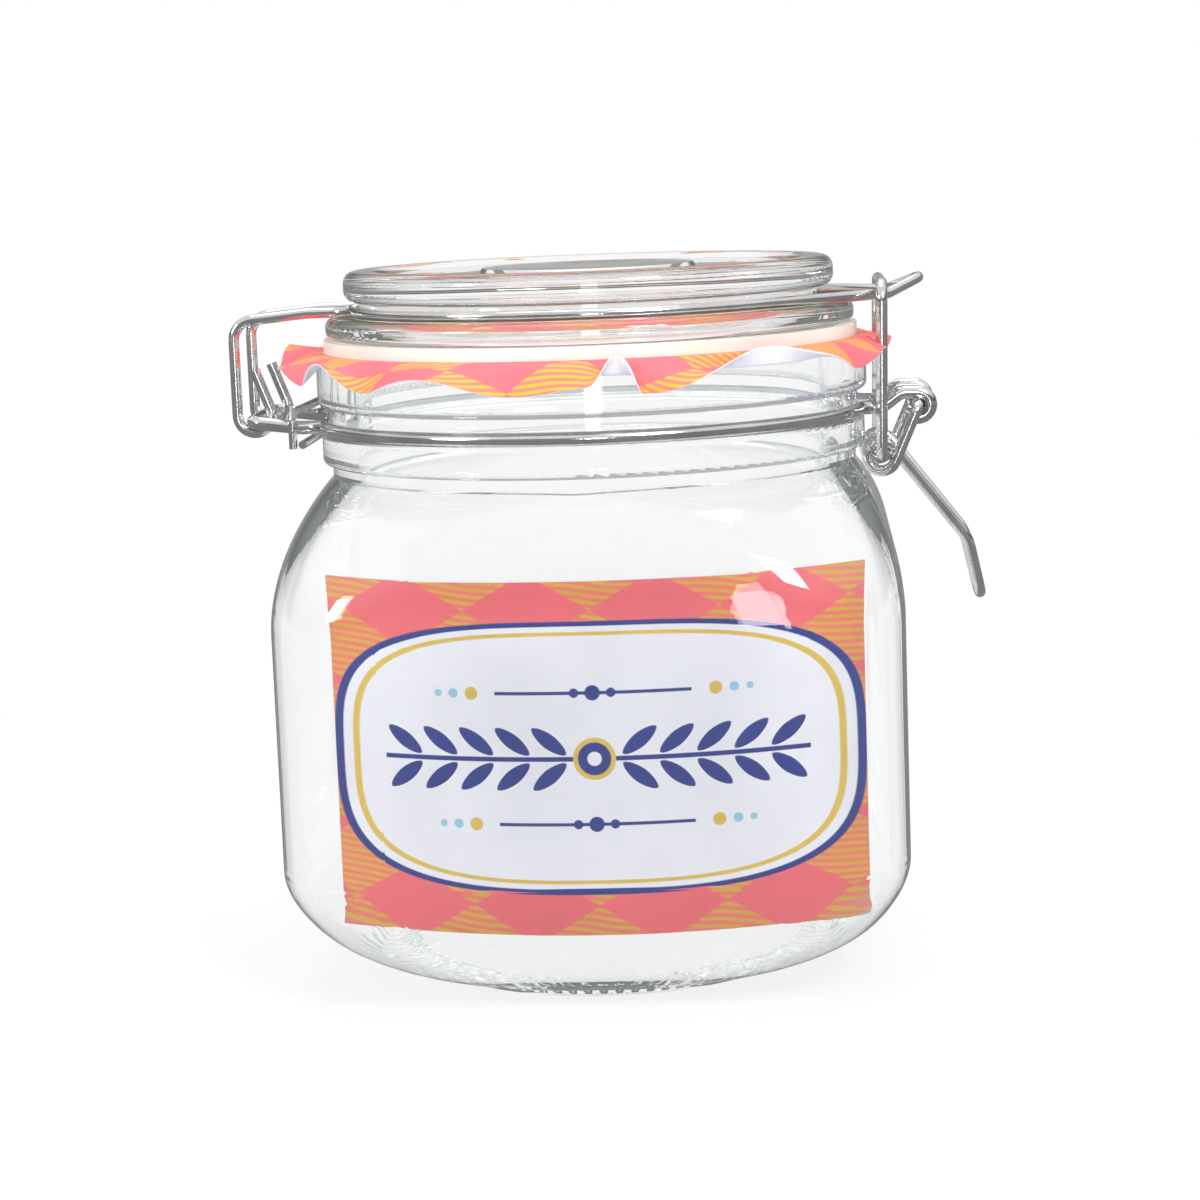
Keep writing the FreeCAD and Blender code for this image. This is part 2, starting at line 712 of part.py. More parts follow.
inward = (tip_back + vec(tip_back.x, -tip_back.y, tip_back.z)).normalize()
tip_middle = apex + inward * (val("tongue_tip") / math.sin(tip_half) - val("tongue_tip"))
bail_tip = [arc(tip_enter, tip_middle, mirror_point(tip_enter))]
lid_bail = rod("lid_bail", bail_half + bail_tip + mirrored(bail_half), val("bail_wire"))

# Latch lever: two stubs in the eyes, two coils, one looped handle
lever_y = val("lever_spread")
coil = pivot - vec(val("coil_back"), 0, val("coil_drop"))
coil_r = val("coil_radius")
to_coil = coil - pivot
aim_turn = math.atan2(to_coil.z, to_coil.x) + math.asin(coil_r / to_coil.Length)
aim = vec(math.cos(aim_turn), 0, math.sin(aim_turn))
leg_length = math.sqrt(to_coil.Length ** 2 - coil_r ** 2)
coil_in = pivot + aim * leg_length
turn_in = math.atan2(coil_in.z - coil.z, coil_in.x - coil.x)
handle = -math.radians(val("handle_angle"))
turn_out = handle + math.pi / 2
sweep = (turn_in - turn_out) % (2 * math.pi)
inner_y = lever_y - val("coil_shift")
coil_out = vec(coil.x + coil_r * math.cos(turn_out), inner_y, coil.z + coil_r * math.sin(turn_out))
knee = coil_out + vec(math.cos(handle), 0, math.sin(handle)) * val("handle_length")
knee.y = inner_y - val("handle_narrow")
handle_aim = (knee - coil_out).normalize()
grip = -math.radians(val("grip_angle"))
tip = vec(knee.x + val("grip_length") * math.cos(grip), val("grip_half"),
          knee.z + val("grip_length") * math.sin(grip))
stub = vec(pivot.x, lever_y - val("lever_stub"), pivot.z)
lever_half = runs([stub, vec(pivot.x, lever_y, pivot.z), vec(coil_in.x, lever_y, coil_in.z)], [latch_r * 1.6])
quarters = 4
place = vec(coil_in.x, lever_y, coil_in.z)
heading = aim
for i in range(quarters):
    share = (i + 1) / quarters
    now = turn_in - sweep * share
    spot = vec(coil.x + coil_r * math.cos(now), lever_y - val("coil_shift") * share,
               coil.z + coil_r * math.sin(now))
    slope = -val("coil_shift") / sweep / coil_r
    ahead = vec(math.sin(now), slope, -math.cos(now)).normalize()
    if i == quarters - 1:
        ahead = handle_aim
    lever_half += biarc(place, heading, spot, ahead)
    place = spot
    heading = ahead
lever_half += runs([coil_out, knee, tip, vec(tip.x, 0, tip.z)], [latch_r * 7, val("grip_corner")])
latch_lever = rod("latch_lever", lever_half + mirrored(lever_half), val("latch_wire"))

# Latch link: an arch over the tongue, its feet turned in through the coils
link_y = val("link_spread")
link_top = vec(link_x, 0, bail_z + bail_r + latch_r + gap)
pull = (link_top - coil).normalize()
link_foot = coil + pull * (coil_r - 2 * latch_r - gap)
link_points = [
    vec(link_foot.x, link_y - val("link_stub"), link_foot.z),
    vec(link_foot.x, link_y, link_foot.z),
    vec(link_top.x, link_y, link_top.z),
    vec(link_top.x, 0, link_top.z),
]
link_half = runs(link_points, [val("link_foot"), val("link_corner")])
latch_link = rod("latch_link", link_half + mirrored(link_half), val("latch_wire"))

# Paper cover: a dish under the lid plug, a flat ring on the rim and a ruffled skirt
thick = val("paper_thick")
plug_foot = number(plug_radius) - val("plug_taper")
bend_r = r_rim + val("skirt_bend")
flat_in = r_mouth - val("paper_thick")
dish = Part.makePolygon([
    vec(0, 0, z_plug_low - thick), vec(plug_foot + thick, 0, z_plug_low - thick),
    vec(flat_in, 0, z_rim_top), vec(bend_r - 0.4, 0, z_rim_top),
    vec(bend_r - 0.4, 0, z_ring_low), vec(flat_in - thick, 0, z_ring_low),
    vec(plug_foot, 0, z_plug_low), vec(0, 0, z_plug_low),
    vec(0, 0, z_plug_low - thick),
])
dish_solid = Part.Face(dish).revolve(vec(0, 0, 0), vec(0, 0, 1), 360)
folds = int(val("skirt_folds"))
steps = folds * 4
sections = []
for i in range(steps):
    angle = 2 * math.pi * i / steps
    swing = math.cos(folds * angle)
    uneven = 1 + 0.25 * math.sin(3 * angle + 0.6) + 0.2 * math.sin(5 * angle)
    droop = val("skirt_droop") + val("skirt_lean") * math.cos(angle) - val("skirt_wave") * swing * uneven
    tilt = math.radians(max(val("skirt_least"), min(val("skirt_most"), droop)))
    length = val("skirt_length") * (1 + 0.06 * math.sin(2 * angle + 1.0))
    edge_r = bend_r + length * math.cos(tilt)
    edge_z = z_ring_low - length * math.sin(tilt)
    normal = (math.sin(tilt), math.cos(tilt))
    outline = [
        (bend_r - 0.8, z_ring_low), (bend_r, z_ring_low), (edge_r, edge_z),
        (edge_r - normal[0] * thick, edge_z - normal[1] * thick),
        (bend_r - math.tan(tilt / 2) * thick, z_rim_top), (bend_r - 0.8, z_rim_top),
    ]
    corners = [vec(r * math.cos(angle), r * math.sin(angle), z) for r, z in outline]
    sections.append(Part.makePolygon(corners + [corners[0]]))
skirt = Part.makeLoft(sections + [sections[0]], True, True)
if skirt.Volume < 0:
    skirt.reverse()
paper = doc.addObject("Part::Feature", "paper_cover")
paper.Label = "paper_cover"
paper.Shape = dish_solid.fuse(skirt).removeSplitter()
paper.Placement = FreeCAD.Placement()

doc.recompute()
nodes = [jar, lid, ring, paper, card, lid_bail, neck_wire, neck_clip, latch_lever, latch_link]
for item in doc.Objects:
    if "Invalid" in item.State or "Error" in item.State:
        raise RuntimeError("failed: " + item.Name)
for node in nodes:
    shape = node.Shape
    if shape.isNull() or not shape.isValid() or len(shape.Solids) != 1:
        raise RuntimeError("bad shape: " + node.Label)
os.makedirs("parts", exist_ok=True)
for node in nodes:
    node.Shape.exportStep("parts/%s.step" % node.Label)
    box = node.Shape.BoundBox
    print(node.Label, "%.1f %.1f %.1f to %.1f %.1f %.1f" % (box.XMin, box.YMin, box.ZMin,
                                                           box.XMax, box.YMax, box.ZMax),
          "volume %.0f" % node.Shape.Volume)
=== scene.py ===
import math
import bpy
from mathutils import Matrix, Vector


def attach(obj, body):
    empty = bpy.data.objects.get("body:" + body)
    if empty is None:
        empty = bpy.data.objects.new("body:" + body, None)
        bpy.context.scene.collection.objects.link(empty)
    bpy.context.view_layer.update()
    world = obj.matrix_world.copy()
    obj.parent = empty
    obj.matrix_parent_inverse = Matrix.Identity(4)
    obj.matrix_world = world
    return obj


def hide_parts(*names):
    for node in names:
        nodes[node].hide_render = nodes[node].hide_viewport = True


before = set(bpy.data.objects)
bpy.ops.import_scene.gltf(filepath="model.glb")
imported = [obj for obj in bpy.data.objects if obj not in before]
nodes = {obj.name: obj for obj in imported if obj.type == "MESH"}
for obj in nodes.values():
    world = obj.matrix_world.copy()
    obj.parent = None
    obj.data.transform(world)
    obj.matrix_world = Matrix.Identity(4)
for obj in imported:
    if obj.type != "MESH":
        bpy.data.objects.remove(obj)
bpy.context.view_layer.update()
scene = bpy.context.scene
scene.view_settings.view_transform = "Standard"


# Linear colour of an 8-bit screen colour
def rgb(r, g, b):
    def lin(c):
        c = c / 255.0
        return c / 12.92 if c <= 0.04045 else ((c + 0.055) / 1.055) ** 2.4
    return (lin(r), lin(g), lin(b), 1.0)


# Sizes shared with the solids, in metres
RIM_R = 0.0493
RIM_TOP = 0.1111
PAPER_TOP = 0.11135
PLUG_LOW = 0.1086
PLUG_FOOT = 0.0406
MOUTH_R = 0.0425
CARD_MID = 0.04495
CARD_SHIFT = 0.0015

# Colours of the prints, the paper and the rubber
PINK = rgb(236, 104, 114)
ORANGE = rgb(235, 122, 104)
GOLD_LINE = rgb(219, 170, 60)
PANEL = rgb(240, 241, 250)
NAVY = rgb(0, 38, 134)
GOLD = rgb(222, 190, 80)
SKY = rgb(150, 205, 226)
CARD_BACK = rgb(240, 239, 240)
# Back of the paper cover: pale paper darkened to lavender-grey as painted shade, varied at random
COVER_BACK_AND_SHADE = (rgb(204, 201, 214), rgb(228, 226, 236))
RUBBER = (rgb(226, 219, 210), rgb(243, 239, 232))

# Glass: tone by how far the surface turns away, and a faint glow for light that stays trapped in it
GLASS_IOR = 1.47
GLASS_BLEND = 0.35
GLASS_FACE = (0.35, (0.997, 1.0, 0.999, 1))
GLASS_SLANT = (0.75, (0.92, 0.95, 0.935, 1))
GLASS_EDGE = (1.0, (0.58, 0.65, 0.62, 1))
TRAPPED_DEPTH = 5.5
TRAPPED_GLOW = 0.24
TRAPPED_TONE = (0.80, 0.87, 0.84, 1)
GLASS_WAVE = 26.0
GLASS_BUMP = (0.0006, 0.4)

# Fine ribs round the foot: their count, and where they fade out upward and inward
FOOT_RIBS = 84.0
FOOT_TOP = (0.0040, 0.0075)
FOOT_SIDE = (0.0355, 0.0375)
RIB_SHARE = 0.5

# Wire
WIRE_DARK = (0.58, 0.58, 0.58, 1)
WIRE_LIGHT = (0.73, 0.73, 0.74, 1)
WIRE_CLOUD = 120.0
WIRE_CLOUD_STEP = 7.0
WIRE_FINE = 2600.0
WIRE_ROUGH = (0.08, 0.17)
WIRE_BUMP = (0.00003, 0.4)

# Rubber
RUBBER_CLOUD = 90.0
RUBBER_FINE = 1800.0
RUBBER_ROUGH = (0.42, 0.58)
RUBBER_GLOW = 0.12
RUBBER_DEPTH = (0.002, 0.0015, 0.001)
RUBBER_BUMP = (0.00005, 0.6)

# Paper and card: cloudy shade, fibre, and the roughness of each face
SHEET_CLOUD = 60.0
SHEET_FIBRE = 900.0
FIBRE_ROUGH = 0.65
SHEET_SHADE = (0.95, 1.03)
SHEET_BUMP = (0.00005, 0.4)
CARD_ROUGH = 0.5
COVER_ROUGH = 0.55
BACK_ROUGH = 0.6
BACK_CLOUD = 240.0

# Part of a noise's range that is stretched over a tone or a roughness
NOISE_RANGE = (0.3, 0.7)
WIRE_TONE_RANGE = (0.35, 0.7)
WIRE_ROUGH_RANGE = (0.3, 0.75)

# Lozenge ground and its hatching
LOZENGE_WIDE = 0.0215
LOZENGE_TALL = 0.0125
HATCH_PITCH = 0.00118
HATCH_SLANT = 0.12
HATCH_WAVE = 0.00012
HATCH_WAVE_RATE = 520.0
HATCH_SHARE = 0.46
HATCH_SOFT = 0.07

# Plaque on the card: half sizes, roundness, and its bands from the edge inward
PLAQUE_WIDE = 0.0455
PLAQUE_TALL = 0.0232
PLAQUE_POWER = 3.4
PLAQUE_SOFT = 0.003
PLAQUE_BANDS = ((1.0, NAVY), (0.965, PANEL), (0.925, GOLD), (0.898, PANEL))

# Leaf sprig on the plaque
LEAF_FROM = 0.0045
LEAF_TO = 0.0355
LEAF_PITCH = 0.0062
LEAF_LIFT = 0.0030
LEAF_ALONG = 0.78
LEAF_ACROSS = 0.62
LEAF_LONG = 0.0036
LEAF_WIDE = 0.00125
LEAF_POWER = 1.7
LEAF_SOFT = 0.06
STEM_HALF = 0.036
STEM_THICK = 0.0004
BOSS = ((0.0036, GOLD), (0.0028, NAVY), (0.0012, PANEL))

# Two rules on the plaque, with dots given by their place, radius and colour
RULE_LEVELS = (0.0112, -0.0112)
RULE_HALF = 0.0165
RULE_THICK = 0.00028
RULE_DOTS = ((0.0, 0.0013, NAVY), (0.0031, 0.0008, NAVY), (0.0205, 0.0011, GOLD),
             (0.0236, 0.0008, SKY), (0.0262, 0.0006, SKY))
DOT_SOFT = 0.00008
BAR_SOFT = 0.00006

# Paper cover: counts and lengths of the sheet
PAPER_AROUND = 416
PAPER_THICK = 0.00018
PAPER_GAP = 0.000125
BEND_R = RIM_R + 0.0006
SKIRT = 0.0064
SKIRT_STEPS = 16

# Folds of the skirt, angles in degrees. Each wave is (size, count round the rim, phase in radians)
FOLDS = 15
FOLD_DRIFT = ((0.9, 2, 0.4), (0.5, 5, 0.0))
FOLD_SIZE = 0.75
FOLD_SIZE_WAVES = ((0.25, 3, 1.1), (0.2, 7, 0.3))
FOLD_SWING = 30.0
LEAN = 32.0
LEAN_WAVES = ((14.0, 1, math.pi / 2), (5.0, 4, 0.0))
TILT_LEAST = -20.0
TILT_MOST = 82.0
TILT_START = 0.45
TILT_GAIN = 0.9

# Waves of the edge: curl in radians, change of length as a share, slip sideways in metres
CURL_WAVES = ((0.1, 9, 2.0),)
LENGTH_WAVES = ((0.05, 2, 1.0),)
SLIP_WAVES = ((0.0006, 13, 0.4 + math.pi / 2),)

# The front hangs lower and calmer, and the skirt is shorter behind the latch, angles in degrees
FRONT_AT = -88.0
FRONT_HALF = 42.0
FRONT_LEAN = 30.0
FRONT_CALM = 12.0
SHORT_SHARE = 0.38
SHORT_HALF = 24.0

# Stretches of the edge that roll up, as (middle, half) in degrees, and where along the skirt they roll
CUFFS = ((-52.0, 22.0), (-82.0, 6.0), (100.0, 12.0))
CUFF_LEAN = 76.0
CUFF_ROLL = 150.0
CUFF_FROM = 0.34
CUFF_SPAN = 0.22

# Camera fitted to the photograph, with its focal length in pixels of a 1200 pixel frame
CAMERA_TURN = math.radians(4.0)
CAMERA_PITCH = math.radians(8.72)
CAMERA_ROLL = math.radians(-2.16)
CAMERA_AWAY = 0.526
CAMERA_HIGH = 0.1449
FOCAL_PIXELS = 2919.0
FRAME_PIXELS = 1200.0
SENSOR = 36.0

# Light of the world where it isn't seen, and the walls that reflections show, from low to high
AMBIENT = 0.62
WALL_LOW = (0.0, (0.50, 0.50, 0.50, 1))
WALL_DARK = (0.20, (0.08, 0.08, 0.08, 1))
WALL_HIGH = (0.55, (1, 1, 1, 1))
WALLS_IN_GLASS = 0.3

# Floor: its size and tone, how far its shadow reaches, and how much reflections dim it
FLOOR_R = 6
FLOOR_SIDES = 96
FLOOR_TONE = (0.92, 0.92, 0.92, 1)
FLOOR_FADE = (0.05, 0.30)
FLOOR_WHITE = 0.8
FLOOR_GLOSS = 0.72
FLOOR_GLOSS_IN_GLASS = 0.05

# Lamps: name, place, width, height and power, all aimed at the middle of the object
LAMP_AIM = (0, 0, 0.06)
LAMPS = (("key", (0.45, -0.75, 0.75), 0.28, 0.34, 7.0),
         ("fill", (-0.8, -0.55, 0.45), 0.2, 0.3, 4.0),
         ("window", (0.075, -1.0, 0.16), 0.13, 0.30, 0.8),
         ("overhead", (0.0, 0.2, 1.1), 0.7, 0.7, 5.0))


# Node helpers for the tree of a material or world
class Net:
    def __init__(self, owner, main):
        owner.use_nodes = True
        self.owner = owner
        self.tree = owner.node_tree
        self.main = self.tree.nodes[main]

    def node(self, kind, **props):
        n = self.tree.nodes.new(kind)
        for key, value in props.items():
            setattr(n, key, value)
        return n

    def link(self, a, b):
        self.tree.links.new(a, b)

    def put(self, socket, value):
        if isinstance(value, bpy.types.NodeSocket):
            self.link(value, socket)
        else:
            socket.default_value = value

    def math(self, op, a, b=0.0):
        n = self.node("ShaderNodeMath", operation=op)
        self.put(n.inputs[0], a)
        self.put(n.inputs[1], b)
        return n.outputs[0]

    def length(self, a, b):
        return self.math("SQRT", self.math("ADD", self.math("MULTIPLY", a, a), self.math("MULTIPLY", b, b)))

    def mix(self, factor, a, b):
        n = self.node("ShaderNodeMix", data_type="RGBA")
        self.put(n.inputs[0], factor)
        self.put(n.inputs[6], a)
        self.put(n.inputs[7], b)
        return n.outputs[2]

    def ramp(self, value, low, mid, high):
        n = self.node("ShaderNodeValToRGB")
        stops = n.color_ramp.elements
        stops[0].position, stops[0].color = low
        stops[1].position, stops[1].color = high
        stops.new(mid[0]).color = mid[1]
        self.link(value, n.inputs[0])
        return n.outputs[0]

    def noise(self, vector, scale, detail, rough=0.5):
        n = self.node("ShaderNodeTexNoise")
        n.inputs["Scale"].default_value = scale
        n.inputs["Detail"].default_value = detail
        n.inputs["Roughness"].default_value = rough
        self.link(vector, n.inputs["Vector"])
        return n.outputs["Fac"]

    def span(self, value, low, high, to_low=0.0, to_high=1.0):
        n = self.node("ShaderNodeMapRange")
        self.put(n.inputs[0], value)
        n.inputs[1].default_value = low
        n.inputs[2].default_value = high
        n.inputs[3].default_value = to_low
        n.inputs[4].default_value = to_high
        return n.outputs[0]

    def below(self, value, edge, soft):
        return self.span(value, edge - soft, edge + soft, 1.0, 0.0)

    def bump(self, height, distance, strength):
        n = self.node("ShaderNodeBump")
        n.inputs["Strength"].default_value = strength
        n.inputs["Distance"].default_value = distance
        self.link(height, n.inputs["Height"])
        self.link(n.outputs["Normal"], self.main.inputs["Normal"])

    def place(self):
        return self.node("ShaderNodeTexCoord").outputs["Object"]

    def split(self, vector):
        n = self.node("ShaderNodeSeparateXYZ")
        self.link(vector, n.inputs[0])
        return n.outputs[0], n.outputs[1], n.outputs[2]


def material_net(name):
    return Net(bpy.data.materials.new(name), "Principled BSDF")


# Glass: clear, slightly green, deeper in tone where it is seen edge on
def glass(name, ribbed):
    m = material_net(name)
    b = m.main
    b.inputs["Transmission Weight"].default_value = 1.0
    b.inputs["IOR"].default_value = GLASS_IOR
    b.inputs["Roughness"].default_value = 0.0
    b.inputs["Emission Color"].default_value = TRAPPED_TONE
    edge = m.node("ShaderNodeLayerWeight")
    edge.inputs["Blend"].default_value = GLASS_BLEND
    m.link(m.ramp(edge.outputs["Facing"], GLASS_FACE, GLASS_SLANT, GLASS_EDGE), b.inputs["Base Color"])
    path = m.node("ShaderNodeLightPath")
    trapped = m.math("GREATER_THAN", path.outputs["Ray Depth"], TRAPPED_DEPTH)
    m.link(m.math("MULTIPLY", trapped, TRAPPED_GLOW), b.inputs["Emission Strength"])
    vector = m.place()
    height = m.noise(vector, GLASS_WAVE, 1.0)
    if ribbed:
        x, y, z = m.split(vector)
        ribs = m.math("SINE", m.math("MULTIPLY", m.math("ARCTAN2", y, x), FOOT_RIBS))
        foot = m.math("MULTIPLY", m.span(z, *FOOT_TOP, 1.0, 0.0), m.span(m.length(x, y), *FOOT_SIDE))
        height = m.math("ADD", height, m.math("MULTIPLY", ribs, m.math("MULTIPLY", foot, RIB_SHARE)))
    m.bump(height, *GLASS_BUMP)
    return m.owner


# Bright drawn wire
def wire(name, seed):
    m = material_net(name)
    b = m.main
    b.inputs["Metallic"].default_value = 1.0
    vector = m.place()
    cloud = m.noise(vector, WIRE_CLOUD + seed, 4.0)
    fine = m.noise(vector, WIRE_FINE, 2.0)
    m.link(m.mix(m.span(cloud, *WIRE_TONE_RANGE), WIRE_DARK, WIRE_LIGHT), b.inputs["Base Color"])
    m.link(m.span(cloud, *WIRE_ROUGH_RANGE, *WIRE_ROUGH), b.inputs["Roughness"])
    m.bump(fine, *WIRE_BUMP)
    return m.owner


# Pale soft rubber
def rubber(name):
    m = material_net(name)
    b = m.main
    vector = m.place()
    cloud = m.noise(vector, RUBBER_CLOUD, 4.0)
    fine = m.noise(vector, RUBBER_FINE, 3.0)
    m.link(m.mix(cloud, *RUBBER), b.inputs["Base Color"])
    m.link(m.span(cloud, *NOISE_RANGE, *RUBBER_ROUGH), b.inputs["Roughness"])
    b.inputs["Subsurface Weight"].default_value = RUBBER_GLOW
    b.inputs["Subsurface Radius"].default_value = RUBBER_DEPTH
    m.bump(fine, *RUBBER_BUMP)
    return m.owner


# Lozenge print: pink and hatched orange diamonds, u and v in metres
def lozenges(m, u, v):
    across = m.math("DIVIDE", u, LOZENGE_WIDE)
    along = m.math("DIVIDE", v, LOZENGE_TALL)
    rising = m.math("FLOOR", m.math("ADD", across, along))
    falling = m.math("FLOOR", m.math("SUBTRACT", across, along))
    check = m.math("FLOORED_MODULO", m.math("ADD", rising, falling), 2.0)
    slant = m.math("ADD", v, m.math("MULTIPLY", u, HATCH_SLANT))
    wave = m.math("MULTIPLY", m.math("SINE", m.math("MULTIPLY", u, HATCH_WAVE_RATE)), HATCH_WAVE)
    lines = m.math("FLOORED_MODULO", m.math("DIVIDE", m.math("ADD", slant, wave), HATCH_PITCH), 1.0)
    hatched = m.mix(m.below(lines, HATCH_SHARE, HATCH_SOFT), ORANGE, GOLD_LINE)
    return m.mix(check, PINK, hatched)


# Print grain over any colour, and the sheet's finish
def sheet_finish(m, colour, vector, rough):
    b = m.main
    cloud = m.noise(vector, SHEET_CLOUD, 4.0)
    fibre = m.noise(vector, SHEET_FIBRE, 4.0, FIBRE_ROUGH)
    shade = m.span(cloud, *NOISE_RANGE, *SHEET_SHADE)
    toned = m.node("ShaderNodeVectorMath", operation="SCALE")
    m.link(colour, toned.inputs[0])
    m.link(shade, toned.inputs["Scale"])
    m.link(toned.outputs[0], b.inputs["Base Color"])
    m.link(m.span(fibre, *NOISE_RANGE, rough - 0.06, rough + 0.08), b.inputs["Roughness"])
    m.bump(fibre, *SHEET_BUMP)


# Mask of a round dot
def disc(m, x, z, at_x, at_z, radius):
    away = m.length(m.math("SUBTRACT", x, at_x), m.math("SUBTRACT", z, at_z))
    return m.below(away, radius, DOT_SOFT)


# Mask of a level line about the middle
def bar(m, x, z, at_z, half, thick):
    inside = m.below(m.math("ABSOLUTE", x), half, DOT_SOFT)
    band = m.below(m.math("ABSOLUTE", m.math("SUBTRACT", z, at_z)), thick, BAR_SOFT)
    return m.math("MULTIPLY", inside, band)


# Mask of slanted leaves in pairs along the stem, from distances off the plaque's middle
def leaves(m, out, off):
    start = m.math("FLOORED_MODULO", m.math("SUBTRACT", out, LEAF_FROM), LEAF_PITCH)
    cell = m.math("SUBTRACT", start, LEAF_PITCH / 2)
    lift = m.math("SUBTRACT", off, LEAF_LIFT)
    along = m.math("ADD", m.math("MULTIPLY", cell, LEAF_ALONG), m.math("MULTIPLY", lift, LEAF_ACROSS))
    across = m.math("SUBTRACT", m.math("MULTIPLY", lift, LEAF_ALONG), m.math("MULTIPLY", cell, LEAF_ACROSS))
    long = m.math("POWER", m.math("ABSOLUTE", m.math("DIVIDE", along, LEAF_LONG)), LEAF_POWER)
    wide = m.math("POWER", m.math("ABSOLUTE", m.math("DIVIDE", across, LEAF_WIDE)), LEAF_POWER)
    leaf = m.below(m.math("ADD", long, wide), 1.0, LEAF_SOFT)
    reach = m.math("MULTIPLY", m.below(out, LEAF_TO, 0.00005), m.span(out, LEAF_FROM, LEAF_FROM + 0.0001))
    return m.math("MULTIPLY", leaf, reach)


# Printed card: lozenge ground, one bordered plaque with a leaf sprig and two dotted rules
def card_print(name):
    m = material_net(name)
    vector = m.place()
    x, y, z = m.split(vector)
    x = m.math("SUBTRACT", x, CARD_SHIFT)
    up = m.math("SUBTRACT", z, CARD_MID)
    out = m.math("ABSOLUTE", x)
    off = m.math("ABSOLUTE", up)
    colour = lozenges(m, x, up)
    wide = m.math("POWER", m.math("DIVIDE", out, PLAQUE_WIDE), PLAQUE_POWER)
    tall = m.math("POWER", m.math("DIVIDE", off, PLAQUE_TALL), PLAQUE_POWER)
    shape = m.math("POWER", m.math("ADD", wide, tall), 1.0 / PLAQUE_POWER)
    for edge, tone in PLAQUE_BANDS:
        colour = m.mix(m.below(shape, edge, PLAQUE_SOFT), colour, tone)
    colour = m.mix(leaves(m, out, off), colour, NAVY)
    colour = m.mix(bar(m, x, up, 0.0, STEM_HALF, STEM_THICK), colour, NAVY)
    for radius, tone in BOSS:
        colour = m.mix(disc(m, x, up, 0.0, 0.0, radius), colour, tone)
    for level in RULE_LEVELS:
        colour = m.mix(bar(m, x, up, level, RULE_HALF, RULE_THICK), colour, NAVY)
        for at, radius, tone in RULE_DOTS:
            colour = m.mix(disc(m, out, up, at, level, radius), colour, tone)
    normal = m.split(m.node("ShaderNodeNewGeometry").outputs["True Normal"])
    front = m.below(normal[1], -0.1, 0.02)
    sheet_finish(m, m.mix(front, CARD_BACK, colour), vector, CARD_ROUGH)
    return m.owner


# Printed face of the paper cover, laid out on the flat disc
def cover_print(name):
    m = material_net(name)
    uv = m.node("ShaderNodeUVMap")
    uv.uv_map = "flat"
    u, v, w = m.split(uv.outputs[0])
    sheet_finish(m, lozenges(m, u, v), m.place(), COVER_ROUGH)
    return m.owner


# Plain back of the paper cover: pale paper darkened to lavender-grey as painted shade
def plain_paper(name):
    m = material_net(name)
    vector = m.place()
    sheet_finish(m, m.mix(m.noise(vector, BACK_CLOUD, 3.0), *COVER_BACK_AND_SHADE), vector, BACK_ROUGH)
    return m.owner


def dress(node, material):
    for slot in nodes[node].material_slots:
        slot.material = material


dress("glass_jar", glass("jar_glass", True))
dress("glass_lid", glass("lid_glass", False))
dress("sealing_ring", rubber("seal_rubber"))
dress("insert_card", card_print("card_print"))
for i, name in enumerate(("lid_bail", "neck_wire", "neck_clip", "latch_lever", "latch_link")):
    dress(name, wire(name + "_metal", i * WIRE_CLOUD_STEP))


def waves(turn, table):
    return sum(size * math.sin(count * turn + phase) for size, count, phase in table)


# Degrees from a middle to a place on the rim, from -180 to 180
def bearing(turn, middle):
    return (math.degrees(turn) - middle + 180.0) % 360.0 - 180.0


def share_of(value):
    return max(0.0, min(1.0, value))


# How far the skirt points down at a bearing, in radians
def skirt_tilt(turn):
    swing = math.sin(FOLDS * turn + waves(turn, FOLD_DRIFT)) * (FOLD_SIZE + waves(turn, FOLD_SIZE_WAVES))
    front = math.exp(-((bearing(turn, 0.0) - FRONT_AT) / FRONT_HALF) ** 2)
    lean = LEAN + waves(turn, LEAN_WAVES) + FRONT_LEAN * front
    tilt = lean - (FOLD_SWING - FRONT_CALM * front) * swing
    return math.radians(max(TILT_LEAST, min(TILT_MOST, tilt)))


# Share of the edge that rolls outward and up, so that the plain back shows
def skirt_cuff(turn):
    cuff = 0.0
    for middle, half in CUFFS:
        off = abs(bearing(turn, middle))
        cuff = max(cuff, 0.5 + 0.5 * math.cos(math.pi * min(1.0, off / half)))
    return cuff


# One line of the skirt from the rim outward, as (radius, height, length along the paper)
def skirt_line(turn, level):
    tilt = skirt_tilt(turn)
    cuff = skirt_cuff(turn)
    short = SHORT_SHARE * math.exp(-(bearing(turn, 0.0) / SHORT_HALF) ** 2)
    step = SKIRT * (1 + waves(turn, LENGTH_WAVES) - short) / SKIRT_STEPS
    r = BEND_R
    z = level
    line = []
    for k in range(1, SKIRT_STEPS + 1):
        share = k / SKIRT_STEPS
        plain = tilt * min(1.0, TILT_START + share * TILT_GAIN) + waves(turn, CURL_WAVES) * share
        rolled = math.radians(CUFF_LEAN - CUFF_ROLL * share_of((share - CUFF_FROM) / CUFF_SPAN))
        lean = plain * (1 - cuff) + rolled * cuff
        r += step * math.cos(lean)
        z -= step * math.sin(lean)
        line.append((r, z, step * k))
    return line


